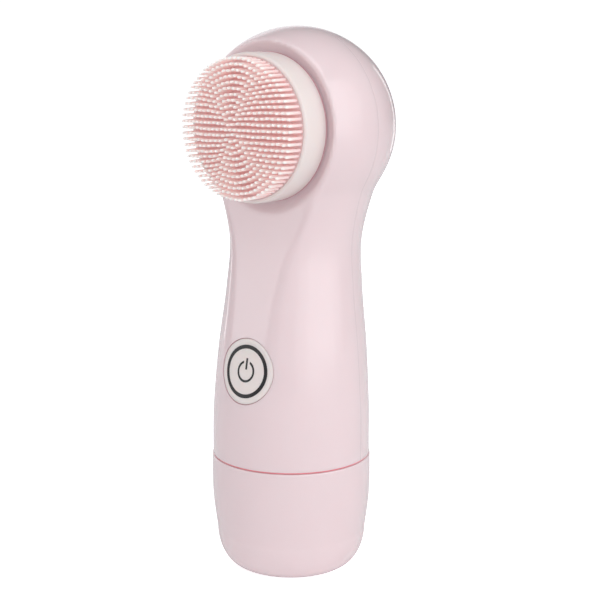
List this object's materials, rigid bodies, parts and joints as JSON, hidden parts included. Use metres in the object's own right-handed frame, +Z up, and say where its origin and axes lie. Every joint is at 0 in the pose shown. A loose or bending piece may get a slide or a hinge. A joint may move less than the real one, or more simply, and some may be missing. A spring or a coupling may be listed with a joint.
{
  "type": "facial cleansing brush",
  "caption": "Battery-powered facial cleansing brush: waisted handle with a ball head, a spinning silicone brush head, a push button and a twist-off battery cap it stands on.",
  "frame": {"origin": "centre of the battery cap's flat foot, on which the brush stands", "axes": "+Z up along the handle, -Y towards the brush face, +X to the right when facing the brush"},
  "size_m": [0.0628, 0.0669, 0.1785],
  "materials": {
    "body_plastic": "polished pale pink moulding",
    "cream_plastic": "satin cream moulding",
    "silicone": "soft translucent silicone",
    "seal_rubber": "matt pink silicone rubber",
    "black_rubber": "matt nitrile rubber",
    "inner_plastic": "natural ABS moulding",
    "black_plastic": "fine matt moulding",
    "cell_jacket": "printed foil jacket",
    "spring_steel": "nickel plated",
    "screw_steel": "zinc plated",
    "motor_steel": "drawn and ground steel",
    "bronze": "turned bronze",
    "gear_nylon": "moulded nylon, lightly greased",
    "board_laminate": "solder resist",
    "red_wire": "PVC insulation",
    "black_wire": "PVC insulation"
  },
  "bodies": {
    "handle": {"front_shell": "body_plastic", "back_shell": "body_plastic", "cap_seal": "seal_rubber", "battery_sleeve": "inner_plastic", "cell_1": "cell_jacket", "cell_2": "cell_jacket", "cell_3": "cell_jacket", "cell_4": "cell_jacket", "upper_bridge": "spring_steel", "upper_terminal_negative": "spring_steel", "upper_terminal_positive": "spring_steel", "upper_spring_1": "spring_steel", "upper_spring_2": "spring_steel", "circuit_board": "board_laminate", "switch_body": "black_plastic", "driver_chip": "black_plastic", "capacitor": "black_plastic", "board_screw_1": "screw_steel", "board_screw_2": "screw_steel", "battery_wire_red": "red_wire", "battery_wire_black": "black_wire", "motor_wire_red": "red_wire", "motor_wire_black": "black_wire", "button_gasket": "seal_rubber", "gearbox_front": "inner_plastic", "gearbox_rear": "inner_plastic", "gearbox_mount_screw_1": "screw_steel", "gearbox_mount_screw_2": "screw_steel", "gearbox_mount_screw_3": "screw_steel", "gearbox_screw_1": "screw_steel", "gearbox_screw_2": "screw_steel", "motor_screw_1": "screw_steel", "motor_screw_2": "screw_steel", "idler_pin": "screw_steel", "spindle_bush": "bronze", "shaft_seal": "black_rubber", "motor_can": "motor_steel", "motor_end_bell": "black_plastic"},
    "output_drive": {"output_gear": "gear_nylon", "output_spindle": "motor_steel"},
    "brush_head": {"brush_hub": "cream_plastic", "silicone_pad": "silicone", "hub_clip": "spring_steel"},
    "idler": {"idler_gear": "gear_nylon"},
    "rotor": {"motor_pinion": "bronze", "motor_shaft": "motor_steel"},
    "power_button": {"button_cap": "cream_plastic"},
    "plunger": {"switch_plunger": "black_plastic"},
    "contact_carrier": {"contact_disc": "inner_plastic", "lower_bridge_1": "spring_steel", "lower_bridge_2": "spring_steel", "lower_spring_1": "spring_steel", "lower_spring_2": "spring_steel"},
    "battery_cap": {"base_cap": "body_plastic", "bayonet_ring": "inner_plastic"}
  },
  "joints": [
    {"name": "brush_spin", "type": "hinge", "parent": "handle", "child": "output_drive", "pos_m": [0, -0.01, 0.147], "axis": [0, 1, 0], "continuous": true},
    {"name": "brush_release", "type": "slide", "parent": "output_drive", "child": "brush_head", "axis": [0, -1, 0], "range_m": [0, 0.02]},
    {"name": "idler_spin", "type": "hinge", "parent": "handle", "child": "idler", "pos_m": [0, 0, 0.1345], "axis": [0, 1, 0], "continuous": true},
    {"name": "rotor_spin", "type": "hinge", "parent": "handle", "child": "rotor", "pos_m": [0, 0, 0.147], "axis": [0, 1, 0], "continuous": true},
    {"name": "button_press", "type": "slide", "parent": "handle", "child": "power_button", "axis": [0, 1, 0], "range_m": [0, 0.0006], "stiffness_N_per_m": 600},
    {"name": "plunger_press", "type": "slide", "parent": "handle", "child": "plunger", "axis": [0, 1, 0], "range_m": [0, 0.0003]},
    {"name": "cap_pull", "type": "slide", "parent": "handle", "child": "contact_carrier", "axis": [0, 0, -1], "range_m": [0, 0.045]},
    {"name": "cap_twist", "type": "hinge", "parent": "contact_carrier", "child": "battery_cap", "pos_m": [0, 0, 0.02], "axis": [0, 0, 1], "range_deg": [0, 45]}
  ],
  "couplings": [
    {"joint": "idler_spin", "follows": "brush_spin", "ratio": -4},
    {"joint": "rotor_spin", "follows": "brush_spin", "ratio": 16},
    {"joint": "plunger_press", "follows": "button_press", "ratio": 0.4}
  ]
}
